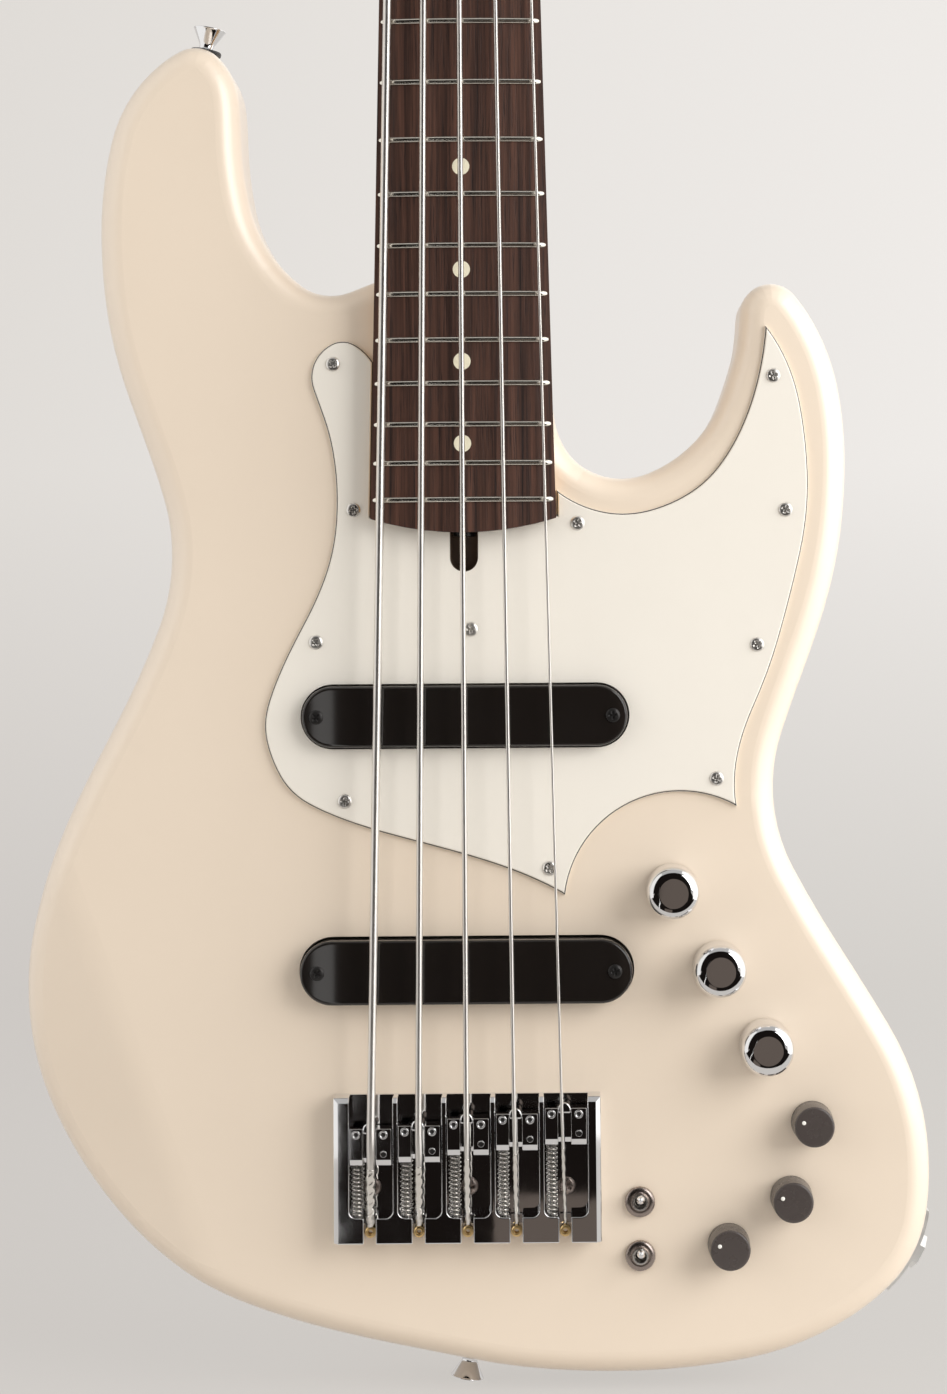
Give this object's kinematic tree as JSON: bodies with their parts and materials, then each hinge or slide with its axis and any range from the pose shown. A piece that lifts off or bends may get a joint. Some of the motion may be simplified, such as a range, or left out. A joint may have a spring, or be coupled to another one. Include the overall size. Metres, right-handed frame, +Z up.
{
  "type": "electric bass guitar",
  "caption": "Solid-body electric bass guitar with an offset waist, bolted fretted neck, laminated guard, wide pickups, block bridge and control knobs.",
  "frame": {"origin": "seat of the lower strap button, on the body's bottom end at half its thickness", "axes": "+Z up the neck, +X to the right seen from the front, +Y towards the back; the front faces -Y"},
  "size_m": [0.3585, 0.0691, 1.1727],
  "materials": {
    "cream_lacquer": "gloss lacquer",
    "maple": "satin",
    "rosewood": "oiled",
    "pearl": "polished",
    "bone": "polished",
    "white_laminate": "gloss",
    "nickel": "polished",
    "chrome": "mirror polish",
    "steel": "plain",
    "string_steel": "wound",
    "black_plastic": "satin",
    "coil_copper": "enamelled wire",
    "foam": "soft",
    "board_green": "solder mask",
    "felt": "felt"
  },
  "bodies": {
    "instrument": {"body": "cream_lacquer", "neck": "maple", "fretboard": "rosewood", "position_markers": "pearl", "frets": "nickel", "nut": "bone", "guard": "white_laminate", "guard_screws": "nickel", "neck_plate": "chrome", "neck_screws": "nickel", "neck_pickup": "black_plastic", "bridge_pickup": "black_plastic", "pickup_coils": "coil_copper", "pickup_foams": "foam", "pickup_screws": "nickel", "bridge_block": "chrome", "bridge_screws": "nickel", "intonation_screws": "nickel", "saddle_springs": "steel", "potentiometers": "nickel", "switch_bodies": "nickel", "control_cover": "black_plastic", "cover_screws": "nickel", "battery": "black_plastic", "preamp_board": "board_green", "jack_plate": "chrome", "output_jack": "chrome", "strap_buttons": "chrome", "strap_felts": "felt", "tuner_housings": "chrome", "tuner_bushings": "chrome", "string_b": "string_steel", "string_e": "string_steel", "string_a": "string_steel", "string_d": "string_steel", "string_g": "string_steel"},
    "truss_rod": {"truss_rod": "steel"},
    "tuner_key_b": {"tuner_key_b": "chrome"},
    "tuner_post_b": {"tuner_post_b": "chrome"},
    "saddle_b": {"saddle_b": "chrome"},
    "tuner_key_e": {"tuner_key_e": "chrome"},
    "tuner_post_e": {"tuner_post_e": "chrome"},
    "saddle_e": {"saddle_e": "chrome"},
    "tuner_key_a": {"tuner_key_a": "chrome"},
    "tuner_post_a": {"tuner_post_a": "chrome"},
    "saddle_a": {"saddle_a": "chrome"},
    "tuner_key_d": {"tuner_key_d": "chrome"},
    "tuner_post_d": {"tuner_post_d": "chrome"},
    "saddle_d": {"saddle_d": "chrome"},
    "tuner_key_g": {"tuner_key_g": "chrome"},
    "tuner_post_g": {"tuner_post_g": "chrome"},
    "saddle_g": {"saddle_g": "chrome"},
    "upper_chrome_knob": {"upper_chrome_knob": "chrome"},
    "upper_black_knob": {"upper_black_knob": "black_plastic"},
    "middle_chrome_knob": {"middle_chrome_knob": "chrome"},
    "middle_black_knob": {"middle_black_knob": "black_plastic"},
    "lower_chrome_knob": {"lower_chrome_knob": "chrome"},
    "lower_black_knob": {"lower_black_knob": "black_plastic"},
    "upper_toggle_lever": {"upper_toggle_lever": "nickel"},
    "lower_toggle_lever": {"lower_toggle_lever": "nickel"}
  },
  "joints": [
    {"name": "truss_rod_turn", "type": "hinge", "parent": "instrument", "child": "truss_rod", "pos_m": [0, -0.01825, 0.333], "axis": [0, 0, 1], "range_deg": [-180, 180]},
    {"name": "tuner_key_b_turn", "type": "hinge", "parent": "instrument", "child": "tuner_key_b", "pos_m": [-0.02612, 0.00075, 1.0121], "axis": [-0.9736, 0, 0.2284], "continuous": true},
    {"name": "tuner_post_b_turn", "type": "hinge", "parent": "instrument", "child": "tuner_post_b", "pos_m": [-0.02612, -0.02125, 1.0121], "axis": [0, -1, 0], "continuous": true},
    {"name": "saddle_b_slide", "type": "slide", "parent": "instrument", "child": "saddle_b", "axis": [0, 0, 1], "range_m": [-0.002, 0.003], "deforming": ["saddle_springs"]},
    {"name": "tuner_key_e_turn", "type": "hinge", "parent": "instrument", "child": "tuner_key_e", "pos_m": [-0.01592, 0.00075, 1.0521], "axis": [-0.9736, 0, 0.2284], "continuous": true},
    {"name": "tuner_post_e_turn", "type": "hinge", "parent": "instrument", "child": "tuner_post_e", "pos_m": [-0.01592, -0.02125, 1.0521], "axis": [0, -1, 0], "continuous": true},
    {"name": "saddle_e_slide", "type": "slide", "parent": "instrument", "child": "saddle_e", "axis": [0, 0, 1], "range_m": [-0.002, 0.003], "deforming": ["saddle_springs"]},
    {"name": "tuner_key_a_turn", "type": "hinge", "parent": "instrument", "child": "tuner_key_a", "pos_m": [-0.00658, 0.00075, 1.0921], "axis": [-0.9736, 0, 0.2284], "continuous": true},
    {"name": "tuner_post_a_turn", "type": "hinge", "parent": "instrument", "child": "tuner_post_a", "pos_m": [-0.00658, -0.02125, 1.0921], "axis": [0, -1, 0], "continuous": true},
    {"name": "saddle_a_slide", "type": "slide", "parent": "instrument", "child": "saddle_a", "axis": [0, 0, 1], "range_m": [-0.002, 0.003], "deforming": ["saddle_springs"]},
    {"name": "tuner_key_d_turn", "type": "hinge", "parent": "instrument", "child": "tuner_key_d", "pos_m": [0.00197, 0.00075, 1.1321], "axis": [-0.9736, 0, 0.2284], "continuous": true},
    {"name": "tuner_post_d_turn", "type": "hinge", "parent": "instrument", "child": "tuner_post_d", "pos_m": [0.00197, -0.02125, 1.1321], "axis": [0, -1, 0], "continuous": true},
    {"name": "saddle_d_slide", "type": "slide", "parent": "instrument", "child": "saddle_d", "axis": [0, 0, 1], "range_m": [-0.002, 0.003], "deforming": ["saddle_springs"]},
    {"name": "tuner_key_g_turn", "type": "hinge", "parent": "instrument", "child": "tuner_key_g", "pos_m": [0.02464, 0.00075, 1.0321], "axis": [1, 0, 0], "continuous": true},
    {"name": "tuner_post_g_turn", "type": "hinge", "parent": "instrument", "child": "tuner_post_g", "pos_m": [0.02464, -0.02125, 1.0321], "axis": [0, -1, 0], "continuous": true},
    {"name": "saddle_g_slide", "type": "slide", "parent": "instrument", "child": "saddle_g", "axis": [0, 0, 1], "range_m": [-0.002, 0.003], "deforming": ["saddle_springs"]},
    {"name": "upper_chrome_knob_turn", "type": "hinge", "parent": "instrument", "child": "upper_chrome_knob", "pos_m": [0.081, -0.02225, 0.1847], "axis": [0, -1, 0], "range_deg": [-150, 150]},
    {"name": "upper_black_knob_turn", "type": "hinge", "parent": "instrument", "child": "upper_black_knob", "pos_m": [0.1353, -0.02225, 0.0933], "axis": [0, -1, 0], "range_deg": [-150, 150]},
    {"name": "middle_chrome_knob_turn", "type": "hinge", "parent": "instrument", "child": "middle_chrome_knob", "pos_m": [0.09912, -0.02225, 0.15417], "axis": [0, -1, 0], "range_deg": [-150, 150]},
    {"name": "middle_black_knob_turn", "type": "hinge", "parent": "instrument", "child": "middle_black_knob", "pos_m": [0.1268, -0.02225, 0.0642], "axis": [0, -1, 0], "range_deg": [-150, 150]},
    {"name": "lower_chrome_knob_turn", "type": "hinge", "parent": "instrument", "child": "lower_chrome_knob", "pos_m": [0.11725, -0.02225, 0.12365], "axis": [0, -1, 0], "range_deg": [-150, 150]},
    {"name": "lower_black_knob_turn", "type": "hinge", "parent": "instrument", "child": "lower_black_knob", "pos_m": [0.1021, -0.02225, 0.046], "axis": [0, -1, 0], "range_deg": [-150, 150]},
    {"name": "upper_toggle_lever_flip", "type": "hinge", "parent": "instrument", "child": "upper_toggle_lever", "pos_m": [0.0674, -0.02125, 0.0627], "axis": [1, 0, 0], "range_deg": [0, 25]},
    {"name": "lower_toggle_lever_flip", "type": "hinge", "parent": "instrument", "child": "lower_toggle_lever", "pos_m": [0.0674, -0.02125, 0.0418], "axis": [1, 0, 0], "range_deg": [0, 25]}
  ],
  "couplings": [
    {"joint": "tuner_post_b_turn", "follows": "tuner_key_b_turn", "ratio": 0.05},
    {"joint": "tuner_post_e_turn", "follows": "tuner_key_e_turn", "ratio": 0.05},
    {"joint": "tuner_post_a_turn", "follows": "tuner_key_a_turn", "ratio": 0.05},
    {"joint": "tuner_post_d_turn", "follows": "tuner_key_d_turn", "ratio": 0.05},
    {"joint": "tuner_post_g_turn", "follows": "tuner_key_g_turn", "ratio": 0.05}
  ]
}
